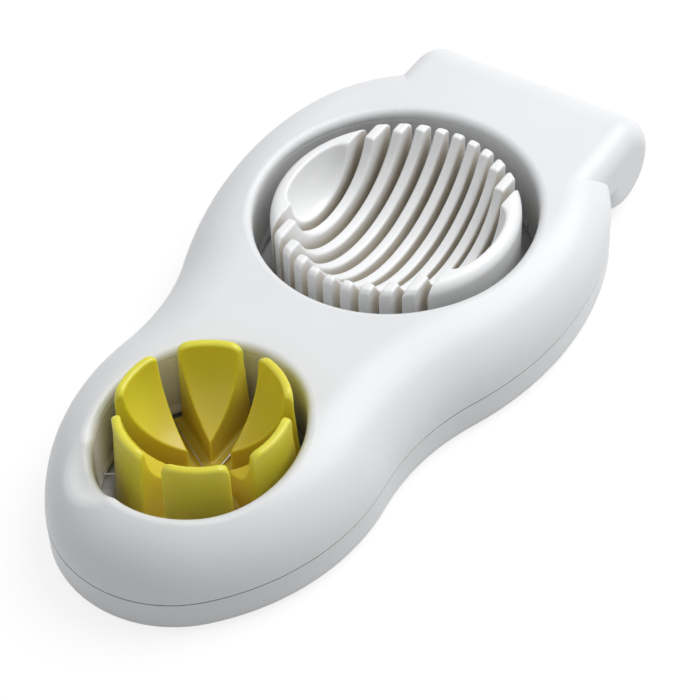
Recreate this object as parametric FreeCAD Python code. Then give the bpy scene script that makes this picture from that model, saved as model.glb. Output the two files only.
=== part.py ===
import FreeCAD, Part
import math
import os

# Egg slicer with a slicing cup and a wedge cup: sizes in millimetres.
# X across, Y from the wedge end to the hinge, Z up, origin under the middle of the outline.
V = FreeCAD.Vector

# Overall
LENGTH = 198.0
LID_TOP = 27.0
BASE_TOP = 9.7
PARTING_GAP = 0.3
WALL = 2.4
FLOOR = 2.4

# Outline seen from above: half widths and radii of the two lobes
BIG_HALF = 50.9
BIG_SIDE_R = 90.0
REAR_PAST_HINGE = 6.8
SMALL_HALF = 40.1
SMALL_IN = 52.0
TIP_R = 32.0
WAIST_R = 64.0
SHOULDER_R = 18.5
REAR_SHOULDER_R = 12.0
BASE_EDGE_R = 3.0

# Openings in the lid: the slicing one placed from the hinge, the wedge one from the front end
SLICE_BACK = 55.7
SLICE_RX = 36.2
SLICE_RY = 37.8
WEDGE_IN = 41.8
WEDGE_RX = 24.4
WEDGE_RY = 27.5
RIM_R = 2.0
COLLAR = 2.0
COLLAR_BOTTOM = 8.2

# Hinge
TABLE_GAP = 1.0
HINGE_X = 5.0
HINGE_HALF = 33.5
HINGE_RUN = 41.0
HINGE_EDGE_R = 6.0
HINGE_SKIN = 2.6
HINGE_GAP = 0.6
PIN_R = 2.0
PIN_RUN = 0.06
PIN_THROAT = 3.3
LUG_IN = 11.5
LUG_W = 6.0
LUG_EYE_R = 5.2
WEB = 3.0

# Thumb dish at the rim of the wedge opening
DISH_R = 20.0
DISH_DEPTH = 4.8
DISH_ANGLE = 213.0
DISH_OUT = 30.5
DISH_EDGE_R = 4.0

# Slicing cup
SLOTS = 10
PITCH = 4.88
SLOT = 2.0
CUP_RX = 32.0
CUP_RY = 32.6
CUP_TOP = 27.9
CUP_PLATE = 5.2
BOWL_X = 24.5
BOWL_Y = 30.0
BOWL_DEEP = 18.0
BOWL_FLAT = 30.0
SPOON_X = 5.2
SPOON_R = 13.0
FIN_TIP = 1.0
FIN_EDGE_R = 0.55
BLOCK_R = 3.0

# Wedge cup
PETALS = 6
PETAL_BACK = 1.9
PETAL_R = 22.8
PETAL_DRAFT = 1.4
PETAL_TOP = 32.4
PETAL_WALL = 2.2
WEDGE_SLOT = 5.8
HOLLOW_DEEP = 21.0
PETAL_EDGE_R = 0.7
PETAL_CORNER_R = 3.0

# Cup seats, wires and screws
SEAT = 0.6
SEAT_GAP = 0.2
WIRE_R = 0.25
WIRE_Z = 6.5
RING_H = 3.2
WIRE_GAP = 0.03
BEAD_R = 0.7
BEAD_L = 1.0
BEAD_GAP = 0.1
EAR_R = 3.2
EAR_OUT = 2.4
SCREW_R = 1.4
HEAD_R = 2.6
HEAD_H = 1.2
SCREW_IN = 7.0

# Values that follow
FRONT = -LENGTH / 2.0
BARREL_R = (LID_TOP - TABLE_GAP) / 2.0
HINGE_Y = LENGTH / 2.0 - BARREL_R
HINGE_Z = LID_TOP - BARREL_R
LUG_X = HINGE_HALF - LUG_IN
SMALL_Y = FRONT + SMALL_IN
SLICE_Y = HINGE_Y - SLICE_BACK
WEDGE_Y = FRONT + WEDGE_IN
PETAL_Y = WEDGE_Y + PETAL_BACK
PETAL_TOP_R = PETAL_R - PETAL_DRAFT
HOLLOW_R = PETAL_TOP_R - PETAL_WALL
LID_BOTTOM = BASE_TOP + PARTING_GAP
ROOF = LID_TOP - WALL
SHOULDER_FOOT = LID_TOP - SHOULDER_R - WALL
REAR_WALL = HINGE_Y - BARREL_R - WALL * 0.7
SEAT_Z = FLOOR - SEAT
RING_BOTTOM = COLLAR_BOTTOM - RING_H
FIN = PITCH - SLOT
BLOCK_X = (SLOTS - 1) * PITCH / 2.0 + SLOT / 2.0


def polar(centre, radius, toward):
    """Point at a radius from a centre, in the direction of another point."""
    d = toward - centre
    return centre + d * (radius / d.Length)


def outline(inset):
    """Figure-eight outline as tangent arcs, moved inwards by an inset."""
    tip = V(0, FRONT + TIP_R, 0)
    dy = SMALL_Y - tip.y
    flank_r = (SMALL_HALF ** 2 + dy ** 2 - TIP_R ** 2) / (2.0 * (SMALL_HALF - TIP_R))
    flank = V(SMALL_HALF - flank_r, SMALL_Y, 0)
    side = V(BIG_HALF - BIG_SIDE_R, SLICE_Y, 0)
    reach = HINGE_Y + REAR_PAST_HINGE - SLICE_Y
    rear_r = (BIG_SIDE_R ** 2 - side.x ** 2 - reach ** 2) / (2.0 * (BIG_SIDE_R - reach))
    rear = V(0, SLICE_Y + reach - rear_r, 0)
    near_d = flank_r + WAIST_R
    far_d = BIG_SIDE_R + WAIST_R
    line = side - flank
    along = (near_d ** 2 - far_d ** 2 + line.Length ** 2) / (2.0 * line.Length)
    off = math.sqrt(near_d ** 2 - along ** 2)
    u = line * (1.0 / line.Length)
    waist = flank + u * along + V(u.y, -u.x, 0) * off
    ends = [
        V(0, FRONT + inset, 0),
        tip + (tip - flank) * ((TIP_R - inset) / (tip - flank).Length),
        polar(flank, flank_r - inset, waist),
        polar(side, BIG_SIDE_R - inset, waist),
        side + (rear - side) * ((BIG_SIDE_R - inset) / (rear - side).Length),
        V(0, rear.y + rear_r - inset, 0),
    ]
    centres = [tip, flank, waist, side, rear]
    edges = []
    for c, a, b in zip(centres, ends[:-1], ends[1:]):
        m = polar(c, (a - c).Length, (a + b) * 0.5)
        edges.append(Part.Arc(a, m, b).toShape())
    mirrored = [e.mirror(V(0, 0, 0), V(1, 0, 0)) for e in edges]
    return Part.Face(Part.Wire(Part.__sortEdges__(edges + mirrored)))


def prism(face, z0, z1):
    body = face.copy()
    body.translate(V(0, 0, z0))
    return body.extrude(V(0, 0, z1 - z0))


def oval(rx, ry, y, z0, z1):
    """Upright oval column."""
    big, small = max(rx, ry), min(rx, ry)
    if abs(big - small) < 1e-6:
        return Part.makeCylinder(rx, z1 - z0, V(0, y, z0))
    e = Part.Ellipse(V(0, 0, 0), big, small).toShape()
    if ry > rx:
        e.rotate(V(0, 0, 0), V(0, 0, 1), 90)
    e.translate(V(0, y, 0))
    return prism(Part.Face(Part.Wire(e)), z0, z1)


def box(x0, x1, y0, y1, z0, z1):
    return Part.makeBox(x1 - x0, y1 - y0, z1 - z0, V(x0, y0, z0))


def rod_x(radius, x0, x1, y=None, z=None):
    """Round bar along X, on the hinge axis unless placed."""
    y = HINGE_Y if y is None else y
    z = HINGE_Z if z is None else z
    return Part.makeCylinder(radius, x1 - x0, V(x0, y, z), V(1, 0, 0))


def edges_at(shape, test):
    """Edges whose sampled points all meet a test."""
    found = []
    for e in shape.Edges:
        if e.Degenerated:
            continue
        pts = e.discretize(5)
        if all(test(p) for p in pts):
            found.append(e)
    return found


def ear_points(rx, ry, y):
    """Four screw positions round an opening."""
    pts = []
    for t in (45, 135, 225, 315):
        a = math.radians(t)
        grow = COLLAR + EAR_OUT
        pts.append(V((rx + grow) * math.cos(a), y + (ry + grow) * math.sin(a), 0))
    return pts


def dish_centre():
    a = math.radians(DISH_ANGLE)
    x = DISH_OUT * math.sin(a)
    y = WEDGE_Y + DISH_OUT * math.cos(a)
    return V(x, y, LID_TOP - DISH_DEPTH + DISH_R)


def dish(grow):
    return Part.makeSphere(DISH_R + grow, dish_centre())


OPENINGS = ((SLICE_RX, SLICE_RY, SLICE_Y), (WEDGE_RX, WEDGE_RY, WEDGE_Y))


def rounded_block(inset, top):
    """Block of the outline's shape, with a rounded shoulder that gets tighter towards the hinge."""
    body = prism(outline(inset), SHOULDER_FOOT, top)
    rows = []
    for i, e in enumerate(body.Edges):
        ends = [e.valueAt(e.FirstParameter), e.valueAt(e.LastParameter)]
        if min(p.z for p in ends) < top - 1e-4:
            continue
        radii = [(REAR_SHOULDER_R if p.y > SLICE_Y else SHOULDER_R) - inset for p in ends]
        rows.append((i + 1, radii[0], radii[1]))
    doc = FreeCAD.newDocument()
    block = doc.addObject("Part::Feature", "block")
    block.Shape = body
    rounding = doc.addObject("Part::Fillet", "rounding")
    rounding.Base = block
    rounding.Edges = rows
    doc.recompute()
    return rounding.Shape.copy()


def hinge_barrel():
    """Barrel round the hinge axis, with a flat top that runs forward into the lid."""
    barrel = rod_x(BARREL_R, -HINGE_HALF, HINGE_HALF)
    block = box(-HINGE_HALF, HINGE_HALF, HINGE_Y - HINGE_RUN, HINGE_Y, HINGE_Z, LID_TOP)
    barrel = barrel.fuse(block).removeSplitter()
    ends = edges_at(barrel, lambda p: abs(abs(p.x) - HINGE_HALF) < 1e-4)
    ends = [e for e in ends if max(v.Point.y for v in e.Vertexes) > HINGE_Y - BARREL_R * 1.5]
    ends = [e for e in ends if e.BoundBox.ZMax > HINGE_Z + 1.0 or e.BoundBox.YMax > HINGE_Y + 1.0]
    barrel = barrel.makeFillet(HINGE_EDGE_R, ends)
    barrel.translate(V(HINGE_X, 0, 0))
    return barrel


def lid_skin():
    """Rounded lid with its thumb dish, openings and hinge barrel, solid inside."""
    body = rounded_block(0.0, LID_TOP)
    body = body.cut(box(-LENGTH, LENGTH, -LENGTH, LENGTH, SHOULDER_FOOT - WALL, LID_BOTTOM))
    body = body.cut(dish(0.0))
    body = body.makeFillet(DISH_EDGE_R, edges_at(body, on_dish))
    for rx, ry, y in OPENINGS:
        body = body.cut(oval(rx, ry, y, COLLAR_BOTTOM - 1.0, LID_TOP + 1.0))
    body = body.makeFillet(RIM_R, edges_at(body, on_rim))
    clear = RIM_R + COLLAR / 2.0
    rim = oval(SLICE_RX + clear, SLICE_RY + clear, SLICE_Y, 0.0, LID_TOP + 1.0)
    return body.fuse(hinge_barrel().cut(rim)).removeSplitter()


def on_dish(p):
    """Points on the edge of the thumb dish."""
    return abs((p - dish_centre()).Length - DISH_R) < 1e-3


def top_frame():
    """Lid shell: openings with collars, screw posts, hinge barrel with webs that clip on the pin."""
    skin = lid_skin()
    reserve = skin.copy()
    reserve.translate(V(0, 0, -WALL / 2.0))
    hollow = rounded_block(WALL, ROOF)
    hollow = hollow.cut(box(-BIG_HALF, BIG_HALF, REAR_WALL, LENGTH, 0, LID_TOP))
    hollow = hollow.cut(dish(WALL))
    lid = skin.cut(hollow)
    post_top = LID_TOP - WALL / 2.0
    for rx, ry, y in OPENINGS:
        tube = oval(rx + COLLAR, ry + COLLAR, y, COLLAR_BOTTOM, post_top)
        for p in ear_points(rx, ry, y):
            post = Part.makeCylinder(EAR_R, post_top - COLLAR_BOTTOM, p + V(0, 0, COLLAR_BOTTOM))
            tube = tube.fuse(post)
        low = tube.common(box(-BIG_HALF, BIG_HALF, FRONT, HINGE_Y, COLLAR_BOTTOM, LID_BOTTOM + WALL))
        lid = lid.fuse(low.fuse(tube.common(reserve)))
        lid = lid.cut(oval(rx, ry, y, COLLAR_BOTTOM - 1.0, LID_TOP + 1.0))
        for p in ear_points(rx, ry, y):
            lid = lid.cut(Part.makeCylinder(SCREW_R, SCREW_IN, p + V(0, 0, COLLAR_BOTTOM)))
    return lid.cut(hinge_inside())


def on_rim(p):
    """Points on the upper edge of either opening."""
    if p.z < LID_TOP - DISH_DEPTH - 1.0:
        return False
    for rx, ry, y in OPENINGS:
        if abs((p.x / rx) ** 2 + ((p.y - y) / ry) ** 2 - 1.0) < 1e-3:
            return True
    return False


def hinge_inside():
    """Space inside the barrel: open below, pockets for the lugs, bore and throat for the pin."""
    inner = BARREL_R - HINGE_SKIN
    end = HINGE_HALF - WEB
    pocket0 = LUG_X - LUG_W / 2.0 - HINGE_GAP
    pocket1 = LUG_X + LUG_W / 2.0 + HINGE_GAP
    cut = rod_x(PIN_R + PIN_RUN, -end, end)
    cut = cut.fuse(box(-end, end, HINGE_Y - PIN_THROAT / 2.0, HINGE_Y + PIN_THROAT / 2.0, -1.0, HINGE_Z))
    bays = [(-end, -pocket1 - WEB), (-pocket0 + WEB, pocket0 - WEB), (pocket1 + WEB, end)]
    for x0, x1 in bays:
        cut = cut.fuse(rod_x(inner, x0, x1))
        cut = cut.fuse(box(x0, x1, HINGE_Y - inner, HINGE_Y + inner, -1.0, HINGE_Z))
    for x0, x1 in ((-pocket1, -pocket0), (pocket0, pocket1)):
        cut = cut.fuse(rod_x(LUG_EYE_R + HINGE_GAP, x0, x1))
        cut = cut.fuse(box(x0, x1, REAR_WALL - 1.0, HINGE_Y + BARREL_R + 1.0, -1.0, HINGE_Z))
    cut.translate(V(HINGE_X, 0, 0))
    return cut


def lug(x):
    """Hinge lug of the base: an eye round the pin on an arm from the rear wall."""
    x0 = x - LUG_W / 2.0
    foot = HINGE_Y - BARREL_R * 0.5
    pts = [
        V(x0, REAR_WALL, FLOOR / 2.0),
        V(x0, foot, FLOOR / 2.0),
        V(x0, HINGE_Y - LUG_EYE_R * 0.6, HINGE_Z - LUG_EYE_R * 0.8),
        V(x0, HINGE_Y - LUG_EYE_R, HINGE_Z),
        V(x0, REAR_WALL, BASE_TOP),
    ]
    arm = Part.Face(Part.makePolygon(pts + pts[:1])).extrude(V(LUG_W, 0, 0))
    return arm.fuse(rod_x(LUG_EYE_R, x0, x0 + LUG_W))


def screw(p, head_z, up):
    """Round-headed screw driven upwards from below."""
    low = head_z - HEAD_H
    head = Part.makeCylinder(HEAD_R, HEAD_H, V(p.x, p.y, low))
    rim = edges_at(head, lambda q: abs(q.z - low) < 1e-4)
    head = head.makeFillet(HEAD_H / 3.0, rim)
    arm = HEAD_R * 0.55
    cross = box(p.x - arm, p.x + arm, p.y - 0.3, p.y + 0.3, low, low + HEAD_H / 2.0)
    turned = cross.copy()
    turned.rotate(p, V(0, 0, 1), 90)
    return head.cut(cross).cut(turned).fuse(Part.makeCylinder(SCREW_R, up, V(p.x, p.y, head_z)))


def cup_screw_points():
    x = (BLOCK_X + CUP_RX) / 2.0
    slicing = [V(-x, SLICE_Y, 0), V(x, SLICE_Y, 0)]
    wedge = [V(-PETAL_R * 0.65, PETAL_Y, 0), V(PETAL_R * 0.65, PETAL_Y, 0)]
    return slicing, wedge


def base_shell():
    """Tray under the lid, with the cup seats, the screw holes and the hinge lugs."""
    body = prism(outline(0.0), 0.0, BASE_TOP)
    body = body.makeFillet(BASE_EDGE_R, edges_at(body, lambda p: abs(p.z) < 1e-4))
    hollow = prism(outline(WALL), FLOOR, BASE_TOP + 1.0)
    hollow = hollow.cut(box(-BIG_HALF, BIG_HALF, REAR_WALL, LENGTH, 0, LID_TOP))
    body = body.cut(hollow)
    x0 = HINGE_X - HINGE_HALF - HINGE_GAP
    x1 = HINGE_X + HINGE_HALF + HINGE_GAP
    body = body.cut(rod_x(BARREL_R + HINGE_GAP, x0, x1))
    body = body.cut(box(-BIG_HALF, BIG_HALF, HINGE_Y - BARREL_R * 0.5, LENGTH, -1.0, LID_TOP))
    body = body.fuse(lug(HINGE_X - LUG_X)).fuse(lug(HINGE_X + LUG_X))
    body = body.cut(rod_x(PIN_R, x0, x1))
    body = body.cut(oval(CUP_RX + SEAT_GAP, CUP_RY + SEAT_GAP, SLICE_Y, SEAT_Z, FLOOR + 0.01))
    body = body.cut(Part.makeCylinder(PETAL_R + SEAT_GAP, SEAT + 0.01, V(0, PETAL_Y, SEAT_Z)))
    for p in sum(cup_screw_points(), []):
        body = body.cut(Part.makeCylinder(SCREW_R, FLOOR, p))
        body = body.cut(Part.makeCylinder(HEAD_R + SEAT_GAP, HEAD_H, p))
    return body.removeSplitter()


def spoon(x):
    """Round seat for the egg's end, centred on the inner face of an end block."""
    e = Part.Ellipse(V(0, 0, 0), SPOON_R, SPOON_X)
    half = Part.Arc(e, -0.5 * math.pi, 0.5 * math.pi).toShape()
    face = Part.Face(Part.Wire([half, Part.makeLine(V(0, SPOON_X, 0), V(0, -SPOON_X, 0))]))
    body = face.revolve(V(0, 0, 0), V(0, 1, 0), 360)
    body.rotate(V(0, 0, 0), V(0, 0, 1), 90)
    body.translate(V(x, SLICE_Y, CUP_TOP))
    return body


def on_spoon(p):
    """Points on the surface of either spoon-shaped seat."""
    across = math.hypot(p.y - SLICE_Y, p.z - CUP_TOP) / SPOON_R
    return abs(math.hypot((abs(p.x) - BLOCK_X) / SPOON_X, across) - 1.0) < 1e-3


def cup_edge(x):
    """Half length of the slicing cup at a distance from its middle."""
    return CUP_RY * math.sqrt(1.0 - (x / CUP_RX) ** 2)


def fin(x):
    """One fin of the slicing cup: ends that follow the oval, bevelled tips, a round seat for the egg."""
    x0 = x - FIN / 2.0
    x1 = x + FIN / 2.0
    low = CUP_PLATE - FIN_EDGE_R
    near = [V(x0, SLICE_Y - cup_edge(x0), low), V(x1, SLICE_Y - cup_edge(x1), low)]
    far = [V(x1, SLICE_Y + cup_edge(x1), low), V(x0, SLICE_Y + cup_edge(x0), low)]
    slab = Part.Face(Part.makePolygon(near + far + near[:1])).extrude(V(0, 0, CUP_TOP - low))
    tips = edges_at(slab, lambda p: p.z > CUP_TOP - 1e-4)
    tips = [e for e in tips if e.BoundBox.XLength > FIN / 2.0]
    slab = slab.makeChamfer(FIN_TIP, tips)
    half = BOWL_Y * math.sqrt(1.0 - (x / BOWL_X) ** 2)
    deep = BOWL_DEEP * math.sqrt(1.0 - (x / BOWL_FLAT) ** 2)
    r = (half ** 2 + deep ** 2) / (2.0 * deep)
    slab = slab.cut(rod_x(r, x - FIN, x + FIN, SLICE_Y, CUP_TOP - deep + r))
    sides = edges_at(slab, lambda p: abs(abs(p.x - x) - FIN / 2.0) < 1e-4 and p.z > low + 0.1)
    return slab.makeFillet(FIN_EDGE_R, sides)


def end_block():
    """End of the slicing cup on the +X side: a rounded outer rim and a spoon-shaped seat."""
    side = box(BLOCK_X, 2.0 * CUP_RX, SLICE_Y - 2.0 * CUP_RY, SLICE_Y + 2.0 * CUP_RY, SEAT_Z, CUP_TOP)
    block = oval(CUP_RX, CUP_RY, SLICE_Y, SEAT_Z, CUP_TOP).common(side)
    outer = edges_at(block, lambda p: p.z > CUP_TOP - 1e-4)
    outer = [e for e in outer if e.BoundBox.XLength > FIN_EDGE_R]
    block = block.makeFillet(BLOCK_R, outer).cut(spoon(BLOCK_X))
    return block.makeFillet(FIN_EDGE_R, edges_at(block, on_spoon))


def slicing_cup():
    """Cradle for the egg: a plate with fins between two end blocks."""
    plate = oval(CUP_RX, CUP_RY, SLICE_Y, SEAT_Z, CUP_PLATE)
    pieces = [fin((i - (SLOTS - 2) / 2.0) * PITCH) for i in range(SLOTS - 1)]
    block = end_block()
    pieces += [block, block.mirror(V(0, 0, 0), V(1, 0, 0))]
    cup = plate.multiFuse(pieces)
    for p in cup_screw_points()[0]:
        cup = cup.cut(Part.makeCylinder(SCREW_R, SCREW_IN, p))
    return cup.removeSplitter()


def petal():
    """One petal of the wedge cup, between two slots, centred on the +X side."""
    low = CUP_PLATE - 0.5
    neck = PETAL_TOP - 2.0 * PETAL_CORNER_R
    body = Part.makeCone(PETAL_R, PETAL_TOP_R, neck - low, V(0, 0, low))
    body = body.fuse(Part.makeCylinder(PETAL_TOP_R, PETAL_TOP - neck, V(0, 0, neck)))
    far, near = sorted((V(HOLLOW_DEEP, 0, 0), V(0, HOLLOW_R, 0)), key=lambda p: -p.Length)
    e = Part.Ellipse(far, near, V(0, 0, 0))
    arc = Part.Arc(e, 0.0, math.pi / 2.0).toShape()
    pts = [V(0, HOLLOW_R, 0), V(0, 0, 0), V(HOLLOW_DEEP, 0, 0)]
    face = Part.Face(Part.Wire([arc, Part.makeLine(pts[0], pts[1]), Part.makeLine(pts[1], pts[2])]))
    bowl = face.revolve(V(0, 0, 0), V(1, 0, 0), 360)
    bowl.rotate(V(0, 0, 0), V(0, 1, 0), 90)
    bowl.translate(V(0, 0, PETAL_TOP))
    body = body.cut(bowl)
    reach = PETAL_R * 2.0
    half = 180.0 / PETALS
    for sign in (-1, 1):
        side = box(-reach, reach, -WEDGE_SLOT / 2.0, reach, 0, PETAL_TOP + 1.0)
        if sign < 0:
            side = box(-reach, reach, -reach, WEDGE_SLOT / 2.0, 0, PETAL_TOP + 1.0)
        side.rotate(V(0, 0, 0), V(0, 0, 1), sign * half)
        body = body.cut(side)
    chord = PETAL_TOP_R * math.sin(math.radians(half) - math.asin(WEDGE_SLOT / 2.0 / PETAL_TOP_R))
    block = box(0, reach, -chord, chord, 0, PETAL_TOP)
    corners = edges_at(block, lambda p: p.z > PETAL_TOP - 1e-4 and abs(abs(p.y) - chord) < 1e-4)
    block = block.makeFillet(PETAL_CORNER_R, corners).fuse(box(0, reach, -reach, reach, 0, neck))
    body = body.common(block)
    rims = edges_at(body, lambda p: p.z > PETAL_TOP - PETAL_CORNER_R * 1.2 and p.x > HOLLOW_R / 2.0)
    return body.makeFillet(PETAL_EDGE_R, rims)


def wedge_cup():
    cup = Part.makeCylinder(PETAL_R, CUP_PLATE - SEAT_Z, V(0, 0, SEAT_Z))
    one = petal()
    for i in range(PETALS):
        p = one.copy()
        p.rotate(V(0, 0, 0), V(0, 0, 1), i * 360.0 / PETALS)
        cup = cup.fuse(p)
    cup.translate(V(0, PETAL_Y, 0))
    for p in cup_screw_points()[1]:
        cup = cup.cut(Part.makeCylinder(SCREW_R, SCREW_IN, p))
    return cup.removeSplitter()


def slot_x(i):
    return (i - (SLOTS - 1) / 2.0) * PITCH


def wire_runs():
    """For each wire: half length between its beads, turn about Z, and middle point.

    The wedge wires cross over the middle of the wedge cup, which is not the middle of their ring.
    """
    slicing = []
    for i in range(SLOTS):
        x = slot_x(i)
        half = SLICE_RY * math.sqrt(1.0 - (x / SLICE_RX) ** 2) + COLLAR * 0.6
        slicing.append((half, 90.0, V(x, SLICE_Y, WIRE_Z)))
    wedge = []
    for i in range(PETALS // 2):
        turn = 90.0 + i * 360.0 / PETALS
        d = V(math.cos(math.radians(turn)), math.sin(math.radians(turn)), 0)
        off = PETAL_Y - WEDGE_Y
        qa = (d.x / WEDGE_RX) ** 2 + (d.y / WEDGE_RY) ** 2
        qb = off * d.y / WEDGE_RY ** 2
        qc = (off / WEDGE_RY) ** 2 - 1.0
        half = math.sqrt(qb ** 2 - qa * qc) / qa + COLLAR * 0.6
        middle = V(0, PETAL_Y, WIRE_Z + (i - 1) * 2.0 * WIRE_R) - d * (qb / qa)
        wedge.append((half, turn, middle))
    return slicing, wedge


def placed(shape, turn, middle):
    shape.rotate(V(0, 0, 0), V(0, 0, 1), turn)
    shape.translate(middle)
    return shape


def wire(run):
    """Straight wire with a bead at each end."""
    half, turn, middle = run
    body = rod_x(WIRE_R, -half, half, 0.0, 0.0)
    body = body.fuse(rod_x(BEAD_R, half, half + BEAD_L, 0.0, 0.0))
    body = body.fuse(rod_x(BEAD_R, -half - BEAD_L, -half, 0.0, 0.0))
    return placed(body, turn, middle)


def groove(x0, x1, reach, turn, middle):
    """Square groove along a wire, open at the top of a wire ring."""
    return placed(box(x0, x1, -reach, reach, -reach, RING_H), turn, middle)


def wire_ring(rx, ry, y, runs):
    """Oval ring under a collar: holds the wires by their beads, four ears for its screws."""
    ring = oval(rx + COLLAR, ry + COLLAR, y, RING_BOTTOM, COLLAR_BOTTOM)
    for p in ear_points(rx, ry, y):
        ring = ring.fuse(Part.makeCylinder(EAR_R, RING_H, p + V(0, 0, RING_BOTTOM)))
    ring = ring.cut(oval(rx, ry, y, RING_BOTTOM - 1.0, COLLAR_BOTTOM + 1.0))
    for p in ear_points(rx, ry, y):
        ring = ring.cut(Part.makeCylinder(SCREW_R, RING_H + 1.0, p + V(0, 0, RING_BOTTOM)))
    for half, turn, middle in runs:
        far = half + 4.0 * COLLAR
        ring = ring.cut(groove(-far, far, WIRE_R + WIRE_GAP, turn, middle))
        for x0, x1 in ((-far, -half), (half, far)):
            ring = ring.cut(groove(x0, x1, BEAD_R + BEAD_GAP, turn, middle))
    return ring.removeSplitter()


def build():
    pin_half = HINGE_HALF - WEB - HINGE_GAP
    parts = {
        "base_shell": base_shell(),
        "top_frame": top_frame(),
        "slicing_cup": slicing_cup(),
        "wedge_cup": wedge_cup(),
        "hinge_pin": rod_x(PIN_R, HINGE_X - pin_half, HINGE_X + pin_half),
    }
    slicing, wedge = wire_runs()
    parts["slicing_wire_ring"] = wire_ring(SLICE_RX, SLICE_RY, SLICE_Y, slicing)
    parts["wedge_wire_ring"] = wire_ring(WEDGE_RX, WEDGE_RY, WEDGE_Y, wedge)
    for i, w in enumerate(slicing):
        parts["slicing_wire_%02d" % (i + 1)] = wire(w)
    for i, w in enumerate(wedge):
        parts["wedge_wire_%d" % (i + 1)] = wire(w)
    groups = zip(("slicing_cup_screw", "wedge_cup_screw"), cup_screw_points())
    for name, pts in groups:
        for i, p in enumerate(pts):
            parts["%s_%d" % (name, i + 1)] = screw(p, HEAD_H, SCREW_IN - HEAD_H)
    for name, o in zip(("slicing_ring_screw", "wedge_ring_screw"), OPENINGS):
        for i, p in enumerate(ear_points(*o)):
            parts["%s_%d" % (name, i + 1)] = screw(p, RING_BOTTOM, RING_H + SCREW_IN)
    return parts


os.makedirs("parts", exist_ok=True)
for name, shape in build().items():
    if len(shape.Solids) == 1:
        shape = shape.Solids[0]
    print(name, shape.isValid(), len(shape.Solids), round(shape.Volume, 1))
    shape.exportStep("parts/%s.step" % name)
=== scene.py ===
import math

import bpy
from mathutils import Matrix, Vector


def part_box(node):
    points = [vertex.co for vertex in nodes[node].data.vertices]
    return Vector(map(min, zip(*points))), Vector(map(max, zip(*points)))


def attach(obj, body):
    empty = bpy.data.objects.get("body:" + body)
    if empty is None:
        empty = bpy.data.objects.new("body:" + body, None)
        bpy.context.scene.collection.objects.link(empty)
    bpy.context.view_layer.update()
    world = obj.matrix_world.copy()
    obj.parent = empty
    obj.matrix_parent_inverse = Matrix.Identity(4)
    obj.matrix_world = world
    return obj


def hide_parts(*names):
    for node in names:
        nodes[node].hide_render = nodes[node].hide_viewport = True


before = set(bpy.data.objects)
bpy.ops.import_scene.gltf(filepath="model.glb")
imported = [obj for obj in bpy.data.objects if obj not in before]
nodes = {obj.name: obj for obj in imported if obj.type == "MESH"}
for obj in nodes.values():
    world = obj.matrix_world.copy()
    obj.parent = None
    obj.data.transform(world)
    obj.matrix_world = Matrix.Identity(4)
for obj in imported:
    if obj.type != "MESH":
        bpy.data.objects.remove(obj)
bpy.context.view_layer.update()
scene = bpy.context.scene


# Skin of a moulded plastic: noise scales per metre, height of the grain and reach of light in metres
CLOUD_SCALE = 32.0
RAGGED_SCALE = 60.0
RAGGED_HEIGHT = 0.003
SPECK_SCALE = 1500.0
SATIN_SCALE = 900.0
SATIN_SPREAD = 0.04
GRAIN_SCALE = 2600.0
GRAIN_HEIGHT = 0.00006
PLASTIC_IOR = 1.49
LIGHT_REACH = 0.003
# Stretch and turn of the marks left by wiping and by scratches
WIPE_STRETCH = (260.0, 26.0, 120.0)
WIPE_TURN = (0.0, 0.0, 0.5)
SCRATCH_STRETCH = (30.0, 900.0, 300.0)
SCRATCH_TURN = (0.0, 0.0, -0.9)
# Share of open sky at which a face takes the full painted crevice shade, and at which it takes none
SHUT_IN = 0.15
OPEN_FACE = 0.72
# Share of the painted highlight colour on an edge, and how much smoother the edge is
EDGE_HIGHLIGHT_TONE = 0.6
EDGE_POLISH = 0.08
# Lathe rings of a screw, in radians per metre, and their height in metres
RING_TURNS = 42000.0
RING_HEIGHT = 0.00003


# Shader helpers

def new_material(name):
    """Empty node material with a plain Principled shader on its output."""
    mat = bpy.data.materials.new(name)
    mat.use_nodes = True
    tree = mat.node_tree
    tree.nodes.clear()
    out = tree.nodes.new("ShaderNodeOutputMaterial")
    shader = tree.nodes.new("ShaderNodeBsdfPrincipled")
    tree.links.new(shader.outputs["BSDF"], out.inputs["Surface"])
    return mat, tree, shader


def add(tree, kind, **values):
    """Node with its properties and input values set by name."""
    n = tree.nodes.new(kind)
    for key, value in values.items():
        if key in n.inputs:
            n.inputs[key].default_value = value
        else:
            setattr(n, key, value)
    return n


def maths(tree, operation, a, b):
    """Math node on two values, either of which may be a socket."""
    n = add(tree, "ShaderNodeMath", operation=operation)
    for socket, value in zip(n.inputs, (a, b)):
        if isinstance(value, bpy.types.NodeSocket):
            tree.links.new(value, socket)
        else:
            socket.default_value = value
    return n.outputs["Value"]


def noise(tree, coords, scale, detail=3.0, rough=0.5):
    """Noise value at the coordinates."""
    n = add(tree, "ShaderNodeTexNoise", Scale=scale, Detail=detail, Roughness=rough)
    tree.links.new(coords, n.inputs["Vector"])
    return n.outputs["Fac"]


def ramp(tree, value, low, high, a, b):
    """Value stretched from low..high to a..b, held at both ends."""
    n = add(tree, "ShaderNodeMapRange", clamp=True)
    n.inputs["From Min"].default_value = low
    n.inputs["From Max"].default_value = high
    n.inputs["To Min"].default_value = a
    n.inputs["To Max"].default_value = b
    tree.links.new(value, n.inputs["Value"])
    return n.outputs["Result"]


def blend_colour(tree, factor, a, b):
    """Mix of two colours, either of which may be a socket."""
    n = add(tree, "ShaderNodeMix", data_type="RGBA")
    tree.links.new(factor, n.inputs["Factor"])
    for key, value in (("A", a), ("B", b)):
        socket = [s for s in n.inputs if s.name == key and s.type == "RGBA"][0]
        if isinstance(value, bpy.types.NodeSocket):
            tree.links.new(value, socket)
        else:
            socket.default_value = (*value, 1.0)
    return [s for s in n.outputs if s.type == "RGBA"][0]


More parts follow.
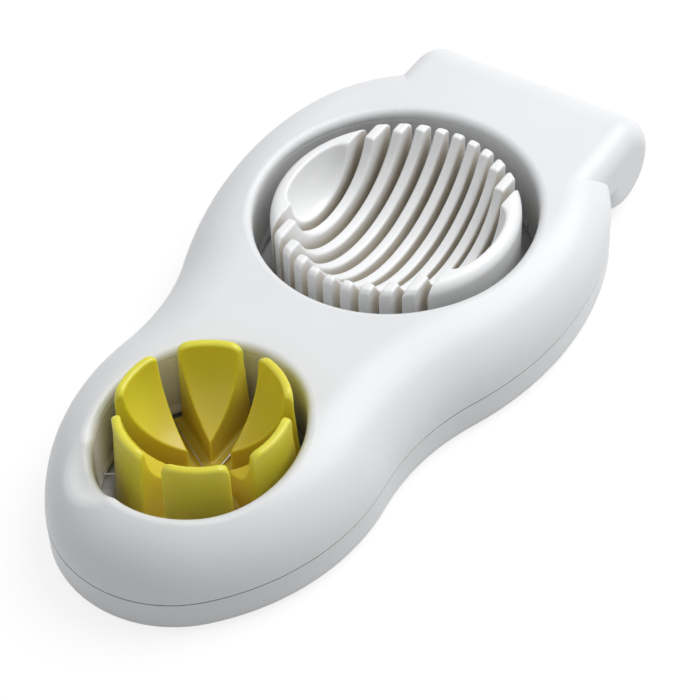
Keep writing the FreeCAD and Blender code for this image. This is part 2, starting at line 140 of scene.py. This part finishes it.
def object_coords(tree, scale=(1.0, 1.0, 1.0), turn=(0.0, 0.0, 0.0)):
    """Object coordinates, turned and stretched."""
    c = tree.nodes.new("ShaderNodeTexCoord")
    m = add(tree, "ShaderNodeMapping", Scale=scale, Rotation=turn)
    tree.links.new(c.outputs["Object"], m.inputs["Vector"])
    return m.outputs["Vector"]


def principled(mat):
    """The material's Principled shader."""
    return next(n for n in mat.node_tree.nodes if n.type == "BSDF_PRINCIPLED")


def outer_edge_mask(tree, radius):
    """One on the outer edges, falling to nothing over about a radius."""
    bevel = add(tree, "ShaderNodeBevel", samples=4, Radius=radius)
    true_normal = tree.nodes.new("ShaderNodeNewGeometry").outputs["Normal"]
    dot = add(tree, "ShaderNodeVectorMath", operation="DOT_PRODUCT")
    tree.links.new(bevel.outputs["Normal"], dot.inputs[0])
    tree.links.new(true_normal, dot.inputs[1])
    return ramp(tree, dot.outputs["Value"], 0.995, 0.9, 0.0, 1.0)


def crevices(tree, distance, local):
    """One in the depth of slots and corners narrower than a distance, nothing on open faces."""
    hidden = add(tree, "ShaderNodeAmbientOcclusion", samples=8, only_local=local, Distance=distance)
    return ramp(tree, hidden.outputs["AO"], SHUT_IN, OPEN_FACE, 1.0, 0.0)


# Finishes

def moulded_plastic(
    name, colour, shade, gloss, grain, painted_foot_shade=None, soft=0.0, soft_radius=(1.0, 1.0, 1.0),
):
    """Injection-moulded plastic.

    Cloudy tone, a satin skin with fine grain, rubbed streaks from wiping and sparse pigment specks.
    A colour of painted shade, given with its heights, takes over towards the foot of a piece, and
    soft lets light into it.
    """
    mat, tree, shader = new_material(name)
    coords = object_coords(tree)
    cloud = ramp(tree, noise(tree, coords, CLOUD_SCALE, 2.0), 0.35, 0.65, 0.0, 1.0)
    tone = blend_colour(tree, cloud, colour, shade)
    # Painted shade: the colour turns darker towards the foot of the piece, standing in for the shade
    # in its slots and hollows.
    if painted_foot_shade:
        split = tree.nodes.new("ShaderNodeSeparateXYZ")
        tree.links.new(coords, split.inputs["Vector"])
        ragged = maths(tree, "MULTIPLY", noise(tree, coords, RAGGED_SCALE, 2.0), RAGGED_HEIGHT)
        foot, top, painted_shade_colour = painted_foot_shade
        low = ramp(tree, maths(tree, "ADD", split.outputs["Z"], ragged), foot, top, 1.0, 0.0)
        tone = blend_colour(tree, low, tone, painted_shade_colour)
    specks = ramp(tree, noise(tree, coords, SPECK_SCALE, 1.0), 0.74, 0.80, 0.0, 0.10)
    tone = blend_colour(tree, specks, tone, tuple(0.6 * c for c in shade))
    streaks = noise(tree, object_coords(tree, WIPE_STRETCH, WIPE_TURN), 6.0, 4.0, 0.6)
    rubbed = ramp(tree, streaks, 0.56, 0.78, 0.0, 0.13)
    hairlines = noise(tree, object_coords(tree, SCRATCH_STRETCH, SCRATCH_TURN), 5.0, 2.0)
    scratched = ramp(tree, hairlines, 0.70, 0.76, 0.0, 0.08)
    fine = noise(tree, coords, SATIN_SCALE, 2.0)
    satin = ramp(tree, fine, 0.3, 0.7, gloss - SATIN_SPREAD, gloss + SATIN_SPREAD)
    skin = maths(tree, "ADD", maths(tree, "ADD", satin, rubbed), scratched)
    height = maths(tree, "SUBTRACT", noise(tree, coords, GRAIN_SCALE, 2.0), scratched)
    bump = add(tree, "ShaderNodeBump", Strength=grain, Distance=GRAIN_HEIGHT)
    tree.links.new(height, bump.inputs["Height"])
    tree.links.new(tone, shader.inputs["Base Color"])
    tree.links.new(skin, shader.inputs["Roughness"])
    tree.links.new(bump.outputs["Normal"], shader.inputs["Normal"])
    shader.inputs["IOR"].default_value = PLASTIC_IOR
    shader.inputs["Subsurface Weight"].default_value = soft
    shader.inputs["Subsurface Radius"].default_value = soft_radius
    shader.inputs["Subsurface Scale"].default_value = LIGHT_REACH
    return mat


def edge_highlight_and_polish(mat, radius, light):
    """Adds to a plastic a painted highlight on its outer edges, a little lighter in colour, and a
    polish that leaves them smoother than the faces.
    """
    tree = mat.node_tree
    shader = principled(mat)
    on_edge = outer_edge_mask(tree, radius)
    tone = shader.inputs["Base Color"].links[0].from_socket
    skin = shader.inputs["Roughness"].links[0].from_socket
    # Painted highlight: the edges take part of the lighter colour.
    edge_highlight_share = maths(tree, "MULTIPLY", on_edge, EDGE_HIGHLIGHT_TONE)
    tree.links.new(blend_colour(tree, edge_highlight_share, tone, light), shader.inputs["Base Color"])
    smoothed = maths(tree, "SUBTRACT", skin, maths(tree, "MULTIPLY", on_edge, EDGE_POLISH))
    tree.links.new(smoothed, shader.inputs["Roughness"])


def painted_crevice_shade(mat, distance, local, dark):
    """Paints shade into a plastic's colour in its slots and corners, where light hardly comes."""
    tree = mat.node_tree
    shader = principled(mat)
    tone = shader.inputs["Base Color"].links[0].from_socket
    inner = crevices(tree, distance, local)
    tree.links.new(blend_colour(tree, inner, tone, dark), shader.inputs["Base Color"])


def drawn_steel(name, colour, gloss, streak_scale):
    """Bare steel with drawing marks along one direction and small dull patches."""
    mat, tree, shader = new_material(name)
    marks = noise(tree, object_coords(tree, streak_scale), 40.0, 4.0, 0.6)
    dull = ramp(tree, noise(tree, object_coords(tree), 260.0, 3.0), 0.5, 0.75, 0.0, 0.12)
    dark = tuple(0.8 * c for c in colour)
    tree.links.new(blend_colour(tree, marks, dark, colour), shader.inputs["Base Color"])
    skin = ramp(tree, marks, 0.3, 0.7, gloss - 0.06, gloss + 0.08)
    tree.links.new(maths(tree, "ADD", skin, dull), shader.inputs["Roughness"])
    shader.inputs["Metallic"].default_value = 1.0
    return mat


def turned_steel(name, colour, gloss):
    """Screw steel with lathe rings round each screw's own axis, read from its turned attribute."""
    mat, tree, shader = new_material(name)
    radius = add(tree, "ShaderNodeAttribute", attribute_name="turned").outputs["Fac"]
    coords = object_coords(tree)
    wobble = maths(tree, "MULTIPLY", noise(tree, coords, 700.0, 2.0), 2.0)
    turns = maths(tree, "MULTIPLY", radius, RING_TURNS)
    rings = maths(tree, "SINE", maths(tree, "ADD", turns, wobble), 0.0)
    cloud = noise(tree, coords, 420.0, 3.0)
    tone = blend_colour(tree, cloud, tuple(0.78 * c for c in colour), colour)
    bump = add(tree, "ShaderNodeBump", Strength=0.25, Distance=RING_HEIGHT)
    tree.links.new(rings, bump.inputs["Height"])
    tree.links.new(tone, shader.inputs["Base Color"])
    tree.links.new(ramp(tree, cloud, 0.3, 0.7, gloss - 0.05, gloss + 0.1), shader.inputs["Roughness"])
    tree.links.new(bump.outputs["Normal"], shader.inputs["Normal"])
    shader.inputs["Metallic"].default_value = 1.0
    return mat


white_body = moulded_plastic(
    "white_body_plastic", (0.782, 0.792, 0.804), (0.757, 0.768, 0.783), 0.36, 0.22,
)
# The cups' tuple of two heights and a colour is painted shade, darkening them towards the foot.
white_cup = moulded_plastic(
    "white_cup_plastic", (0.875, 0.88, 0.885), (0.855, 0.86, 0.865), 0.34, 0.2,
    (0.005, 0.011, (0.74, 0.70, 0.62)), 0.12, (1.0, 0.88, 0.72),
)
yellow_cup = moulded_plastic(
    "yellow_cup_plastic", (0.745, 0.70, 0.05), (0.73, 0.66, 0.045), 0.33, 0.3,
    (0.010, 0.030, (0.69, 0.53, 0.065)), 0.5, (1.0, 0.72, 0.15),
)
ring_white = moulded_plastic(
    "wire_ring_plastic", (0.74, 0.75, 0.76), (0.70, 0.71, 0.73), 0.5, 0.35,
)
# Painted highlight: outer edges a little lighter in colour, and smoother.
edge_highlight_and_polish(yellow_cup, 0.0008, (0.80, 0.79, 0.05))
edge_highlight_and_polish(white_cup, 0.0006, (0.885, 0.89, 0.895))
edge_highlight_and_polish(white_body, 0.001, (0.81, 0.815, 0.82))
# Painted shade: slots and corners darkened in the colour by occlusion; on the body it takes in
# neighbouring pieces, so it also falls between parts.
painted_crevice_shade(white_cup, 0.007, True, (0.66, 0.61, 0.52))
painted_crevice_shade(yellow_cup, 0.006, True, (0.60, 0.47, 0.035))
painted_crevice_shade(white_body, 0.010, False, (0.50, 0.50, 0.48))
wire_steel = drawn_steel("drawn_wire_steel", (0.62, 0.62, 0.63), 0.24, (30.0, 1.0, 30.0))
pin_steel = drawn_steel("hinge_pin_steel", (0.58, 0.58, 0.59), 0.3, (1.0, 40.0, 40.0))
screw_steel = turned_steel("turned_screw_steel", (0.56, 0.56, 0.57), 0.28)

# Finish of each node by the start of its name, the longer starts first
FINISHES = (
    ("slicing_wire_ring", ring_white),
    ("wedge_wire_ring", ring_white),
    ("slicing_wire", wire_steel),
    ("wedge_wire", wire_steel),
    ("slicing_cup_screw", screw_steel),
    ("wedge_cup_screw", screw_steel),
    ("slicing_ring_screw", screw_steel),
    ("wedge_ring_screw", screw_steel),
    ("hinge_pin", pin_steel),
    ("slicing_cup", white_cup),
    ("wedge_cup", yellow_cup),
    ("base_shell", white_body),
    ("top_frame", white_body),
)

for name, piece in nodes.items():
    finish = next(mat for start, mat in FINISHES if name.startswith(start))
    piece.data.materials.clear()
    piece.data.materials.append(finish)


# Screws

HEAD_HEIGHT = 0.0012
SHANK_RADIUS = 0.0014
SIDES = 40
JOIN_DISTANCE = 1e-6
SHARP_ANGLE = 0.6
# Cross recess: length and width as parts of the head's radius, depth of the bit as part of its height
RECESS_LONG = 1.1
RECESS_WIDE = 0.23
RECESS_BIT = 1.1
# Bands of a screw turned about its axis, head down: height as parts of head and of shank,
# radius as parts of the head's and of the shank's, at the lower and at the upper end
BANDS = (
    ((0.0, 0.0, 0.60, 0.0), (0.05, 0.0, 0.80, 0.0)),
    ((0.05, 0.0, 0.80, 0.0), (0.16, 0.0, 0.92, 0.0)),
    ((0.16, 0.0, 0.92, 0.0), (0.36, 0.0, 1.0, 0.0)),
    ((0.36, 0.0, 1.0, 0.0), (0.94, 0.0, 1.0, 0.0)),
    ((0.94, 0.0, 1.0, 0.0), (1.0, 0.0, 0.97, 0.0)),
    ((1.0, 0.0, 0.97, 0.0), (1.0, 0.0, 0.0, 1.0)),
    ((1.0, 0.0, 0.0, 1.0), (1.0, 0.92, 0.0, 1.0)),
    ((1.0, 0.92, 0.0, 1.0), (1.0, 1.0, 0.0, 0.7)),
)


def screw_tree():
    """Node tree that stands a cross-recess screw, head down, on every point it is given."""
    tree = bpy.data.node_groups.new("cross_recess_screws", "GeometryNodeTree")
    tree.interface.new_socket("Points", in_out="INPUT", socket_type="NodeSocketGeometry")
    for name in ("Head Radius", "Head Height", "Shank Radius", "Shank Length"):
        tree.interface.new_socket(name, in_out="INPUT", socket_type="NodeSocketFloat")
    tree.interface.new_socket("Seed", in_out="INPUT", socket_type="NodeSocketInt")
    tree.interface.new_socket("Finish", in_out="INPUT", socket_type="NodeSocketMaterial")
    tree.interface.new_socket("Screws", in_out="OUTPUT", socket_type="NodeSocketGeometry")
    given = tree.nodes.new("NodeGroupInput").outputs
    link = tree.links.new

    def level(point):
        h = maths(tree, "MULTIPLY", given["Head Height"], point[0])
        return maths(tree, "ADD", h, maths(tree, "MULTIPLY", given["Shank Length"], point[1]))

    def reach(point):
        r = maths(tree, "MULTIPLY", given["Head Radius"], point[2])
        return maths(tree, "ADD", r, maths(tree, "MULTIPLY", given["Shank Radius"], point[3]))

    def raised(mesh, z):
        place = tree.nodes.new("ShaderNodeCombineXYZ")
        link(z, place.inputs["Z"])
        move = tree.nodes.new("GeometryNodeTransform")
        link(mesh, move.inputs["Geometry"])
        link(place.outputs["Vector"], move.inputs["Translation"])
        return move.outputs["Geometry"]

    lathe = tree.nodes.new("GeometryNodeJoinGeometry")
    for low, high in BANDS:
        band = add(tree, "GeometryNodeMeshCone", fill_type="NONE", Vertices=SIDES)
        link(reach(low), band.inputs["Radius Bottom"])
        link(reach(high), band.inputs["Radius Top"])
        link(maths(tree, "SUBTRACT", level(high), level(low)), band.inputs["Depth"])
        link(raised(band.outputs["Mesh"], level(low)), lathe.inputs["Geometry"])
    for end in (BANDS[0][0], BANDS[-1][1]):
        cap = add(tree, "GeometryNodeMeshCircle", fill_type="NGON", Vertices=SIDES)
        link(reach(end), cap.inputs["Radius"])
        face = cap.outputs["Mesh"]
        if end == BANDS[0][0]:
            flip = tree.nodes.new("GeometryNodeFlipFaces")
            link(face, flip.inputs["Mesh"])
            face = flip.outputs["Mesh"]
        link(raised(face, level(end)), lathe.inputs["Geometry"])
    closed = add(tree, "GeometryNodeMergeByDistance", Distance=JOIN_DISTANCE)
    link(lathe.outputs["Geometry"], closed.inputs["Geometry"])

    recess = add(tree, "GeometryNodeMeshBoolean", operation="DIFFERENCE", solver="EXACT")
    link(closed.outputs["Geometry"], recess.inputs["Mesh 1"])
    for long_way, short_way in (("X", "Y"), ("Y", "X")):
        size = tree.nodes.new("ShaderNodeCombineXYZ")
        link(maths(tree, "MULTIPLY", given["Head Radius"], RECESS_LONG), size.inputs[long_way])
        link(maths(tree, "MULTIPLY", given["Head Radius"], RECESS_WIDE), size.inputs[short_way])
        link(maths(tree, "MULTIPLY", given["Head Height"], RECESS_BIT), size.inputs["Z"])
        bit = tree.nodes.new("GeometryNodeMeshCube")
        link(size.outputs["Vector"], bit.inputs["Size"])
        link(bit.outputs["Mesh"], recess.inputs["Mesh 2"])

    place = tree.nodes.new("ShaderNodeSeparateXYZ")
    link(tree.nodes.new("GeometryNodeInputPosition").outputs["Position"], place.inputs["Vector"])
    squares = [maths(tree, "MULTIPLY", place.outputs[a], place.outputs[a]) for a in ("X", "Y")]
    store = add(
        tree, "GeometryNodeStoreNamedAttribute", data_type="FLOAT", domain="POINT", Name="turned",
    )
    link(recess.outputs["Mesh"], store.inputs["Geometry"])
    link(maths(tree, "POWER", maths(tree, "ADD", *squares), 0.5), store.inputs["Value"])
    smooth = add(tree, "GeometryNodeSetShadeSmooth", domain="FACE")
    link(store.outputs["Geometry"], smooth.inputs["Geometry"])
    sharp = add(tree, "GeometryNodeSetShadeSmooth", domain="EDGE")
    sharp.inputs["Shade Smooth"].default_value = False
    angle = tree.nodes.new("GeometryNodeInputMeshEdgeAngle").outputs["Unsigned Angle"]
    link(smooth.outputs["Geometry"], sharp.inputs["Geometry"])
    link(maths(tree, "GREATER_THAN", angle, SHARP_ANGLE), sharp.inputs["Selection"])

    turn = add(tree, "FunctionNodeRandomValue", data_type="FLOAT")
    low, high = [s for s in turn.inputs if s.name in ("Min", "Max") and s.type == "VALUE"][:2]
    low.default_value, high.default_value = 0.0, math.pi / 2.0
    link(given["Seed"], turn.inputs["Seed"])
    spin = tree.nodes.new("ShaderNodeCombineXYZ")
    link(next(s for s in turn.outputs if s.type == "VALUE" and s.enabled), spin.inputs["Z"])
    points = tree.nodes.new("GeometryNodeMeshToPoints")
    link(given["Points"], points.inputs["Mesh"])
    stand = tree.nodes.new("GeometryNodeInstanceOnPoints")
    link(points.outputs["Points"], stand.inputs["Points"])
    link(sharp.outputs["Geometry"], stand.inputs["Instance"])
    link(spin.outputs["Vector"], stand.inputs["Rotation"])
    real = tree.nodes.new("GeometryNodeRealizeInstances")
    link(stand.outputs["Instances"], real.inputs["Geometry"])
    finish = tree.nodes.new("GeometryNodeSetMaterial")
    link(real.outputs["Geometry"], finish.inputs["Geometry"])
    link(given["Finish"], finish.inputs["Material"])
    link(finish.outputs["Geometry"], tree.nodes.new("NodeGroupOutput").inputs["Screws"])
    return tree


def screw_set(tree, name, starts, body, seed):
    """One mesh of all the screws on a body, each where its solid is."""
    stands = [n for n in nodes if n.startswith(starts)]
    boxes = [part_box(n) for n in stands]
    feet = [((lo[0] + hi[0]) / 2.0, (lo[1] + hi[1]) / 2.0, lo[2]) for lo, hi in boxes]
    lo, hi = boxes[0]
    mesh = bpy.data.meshes.new(name + "_points")
    mesh.from_pydata(feet, [], [])
    holder = bpy.data.objects.new(name + "_points", mesh)
    scene.collection.objects.link(holder)
    modifier = holder.modifiers.new("screws", "NODES")
    modifier.node_group = tree
    sizes = {
        "Head Radius": (hi[0] - lo[0]) / 2.0,
        "Head Height": HEAD_HEIGHT,
        "Shank Radius": SHANK_RADIUS,
        "Shank Length": hi[2] - lo[2] - HEAD_HEIGHT,
        "Seed": seed,
        "Finish": screw_steel,
    }
    for item in tree.interface.items_tree:
        if item.in_out == "INPUT" and item.name in sizes:
            modifier[item.identifier] = sizes[item.name]
    graph = bpy.context.evaluated_depsgraph_get()
    made = bpy.data.meshes.new_from_object(holder.evaluated_get(graph), depsgraph=graph)
    made.name = name
    piece = bpy.data.objects.new(name, made)
    scene.collection.objects.link(piece)
    holder.modifiers.remove(modifier)
    bpy.data.objects.remove(holder)
    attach(piece, body)
    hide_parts(*stands)


screws = screw_tree()
screw_set(screws, "ring_screws", ("slicing_ring_screw", "wedge_ring_screw"), "lid", 4)
screw_set(screws, "cup_screws", ("slicing_cup_screw", "wedge_cup_screw"), "base", 7)


# Cups with their moulded edges rounded

EVEN_SIZE = 0.0003
SOFTEN_FACTOR = 0.5


def rounded_cup(node, passes, share, body, finish):
    """The cup's own solid, laid out again in an even mesh so that every edge takes a small radius.

    More passes round the edges more, and a share of the even mesh's faces is kept.
    """
    mesh = nodes[node].data.copy()
    holder = bpy.data.objects.new(node + "_even", mesh)
    scene.collection.objects.link(holder)
    even = holder.modifiers.new("even", "REMESH")
    even.mode = "VOXEL"
    even.voxel_size = EVEN_SIZE
    even.use_smooth_shade = True
    soften = holder.modifiers.new("soften", "SMOOTH")
    soften.factor = SOFTEN_FACTOR
    soften.iterations = passes
    thin = holder.modifiers.new("thin", "DECIMATE")
    thin.ratio = share
    graph = bpy.context.evaluated_depsgraph_get()
    made = bpy.data.meshes.new_from_object(holder.evaluated_get(graph), depsgraph=graph)
    made.name = "rounded_" + node
    holder.modifiers.clear()
    bpy.data.objects.remove(holder)
    made.materials.clear()
    made.materials.append(finish)
    for face in made.polygons:
        face.use_smooth = True
    piece = bpy.data.objects.new("rounded_" + node, made)
    scene.collection.objects.link(piece)
    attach(piece, body)
    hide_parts(node)


rounded_cup("slicing_cup", 10, 0.25, "base", white_cup)
rounded_cup("wedge_cup", 5, 0.4, "base", yellow_cup)


# Floor, background and lamps

FLOOR_HALF = 4.0
FLOOR_DROP = 0.0002
# Floor as it lights the object, and as it is seen: a faint grey that takes the shadow, under a glow
FLOOR_PLAIN = (0.62, 0.62, 0.62, 1.0)
FLOOR_FAINT = (0.22, 0.22, 0.22, 1.0)
FLOOR_GLOW = 0.82
WHITE = (1.0, 1.0, 1.0, 1.0)
SKY = (0.97, 0.985, 1.0, 1.0)
SKY_STRENGTH = 0.36
LAMP_TARGET = (0.0, 0.0, 0.01)
# Name, place, diameter and power of each lamp
LAMPS = (
    ("key_lamp", (0.24, 0.45, 0.74), 0.85, 7.1),
    ("fill_lamp", (-0.5, -0.5, 0.45), 0.7, 0.5),
)


def seen_directly(tree):
    """One for rays that show the background: from the camera, in gloss and through glass."""
    path = tree.nodes.new("ShaderNodeLightPath")
    total = path.outputs["Is Camera Ray"]
    for ray in ("Is Glossy Ray", "Is Transmission Ray"):
        total = maths(tree, "MAXIMUM", total, path.outputs[ray])
    return total


def pale_floor():
    """Floor that lights the object from below and looks white but for the shadow."""
    mesh = bpy.data.meshes.new("floor")
    s = FLOOR_HALF
    mesh.from_pydata([(-s, -s, 0), (s, -s, 0), (s, s, 0), (-s, s, 0)], [], [(0, 1, 2, 3)])
    floor = bpy.data.objects.new("floor", mesh)
    scene.collection.objects.link(floor)
    floor.location.z = -FLOOR_DROP
    mat = bpy.data.materials.new("pale_floor")
    mat.use_nodes = True
    tree = mat.node_tree
    tree.nodes.clear()
    out = tree.nodes.new("ShaderNodeOutputMaterial")
    plain = add(tree, "ShaderNodeBsdfDiffuse", Color=FLOOR_PLAIN)
    faint = add(tree, "ShaderNodeBsdfDiffuse", Color=FLOOR_FAINT)
    glow = add(tree, "ShaderNodeEmission", Color=WHITE, Strength=FLOOR_GLOW)
    both = tree.nodes.new("ShaderNodeAddShader")
    tree.links.new(faint.outputs["BSDF"], both.inputs[0])
    tree.links.new(glow.outputs["Emission"], both.inputs[1])
    mix = tree.nodes.new("ShaderNodeMixShader")
    tree.links.new(seen_directly(tree), mix.inputs["Fac"])
    tree.links.new(plain.outputs["BSDF"], mix.inputs[1])
    tree.links.new(both.outputs["Shader"], mix.inputs[2])
    tree.links.new(mix.outputs["Shader"], out.inputs["Surface"])
    mesh.materials.append(mat)


def studio_world():
    """Soft light from all round, white where it is seen."""
    world = bpy.data.worlds.new("studio")
    scene.world = world
    world.use_nodes = True
    tree = world.node_tree
    tree.nodes.clear()
    out = tree.nodes.new("ShaderNodeOutputWorld")
    soft = add(tree, "ShaderNodeBackground", Color=SKY, Strength=SKY_STRENGTH)
    white = add(tree, "ShaderNodeBackground", Color=WHITE, Strength=1.0)
    mix = tree.nodes.new("ShaderNodeMixShader")
    tree.links.new(seen_directly(tree), mix.inputs["Fac"])
    tree.links.new(soft.outputs["Background"], mix.inputs[1])
    tree.links.new(white.outputs["Background"], mix.inputs[2])
    tree.links.new(mix.outputs["Shader"], out.inputs["Surface"])


def soft_lamp(name, place, size, power):
    """Round area lamp turned to the object."""
    data = bpy.data.lights.new(name, "AREA")
    data.shape = "DISK"
    data.size = size
    data.energy = power
    lamp = bpy.data.objects.new(name, data)
    lamp.location = place
    aim = Vector(LAMP_TARGET) - Vector(place)
    lamp.rotation_euler = aim.to_track_quat("-Z", "Y").to_euler()
    scene.collection.objects.link(lamp)


pale_floor()
studio_world()
for lamp in LAMPS:
    soft_lamp(*lamp)


# Camera at the photograph's angle: degrees, metres, and the lens in pixels of the picture

AZIMUTH = 34.296
ELEVATION = 45.843
ROLL = -2.433
CAMERA_TARGET = (0.00255, 0.00317, 0.0)
CAMERA_DISTANCE = 0.63808
LENS_PIXELS = 2496.35
PICTURE_PIXELS = 700.0
SENSOR = 36.0


def photo_camera():
    """Camera fitted to the outline in the photograph."""
    azimuth = math.radians(AZIMUTH)
    height = math.radians(ELEVATION)
    roll = math.radians(ROLL)
    target = Vector(CAMERA_TARGET)
    back = Vector((
        math.sin(azimuth) * math.cos(height),
        -math.cos(azimuth) * math.cos(height),
        math.sin(height),
    ))
    level = (-back).cross(Vector((0.0, 0.0, 1.0))).normalized()
    rise = back.cross(level)
    right = level * math.cos(roll) + rise * math.sin(roll)
    up = rise * math.cos(roll) - level * math.sin(roll)
    data = bpy.data.cameras.new("photo_camera")
    data.sensor_width = SENSOR
    data.lens = LENS_PIXELS / PICTURE_PIXELS * SENSOR
    data.clip_start = 0.05
    data.clip_end = 20.0
    camera = bpy.data.objects.new("photo_camera", data)
    turn = Matrix((right, up, back)).transposed().to_4x4()
    camera.matrix_world = Matrix.Translation(target + back * CAMERA_DISTANCE) @ turn
    scene.collection.objects.link(camera)
    scene.camera = camera


photo_camera()
scene.view_settings.view_transform = "Standard"
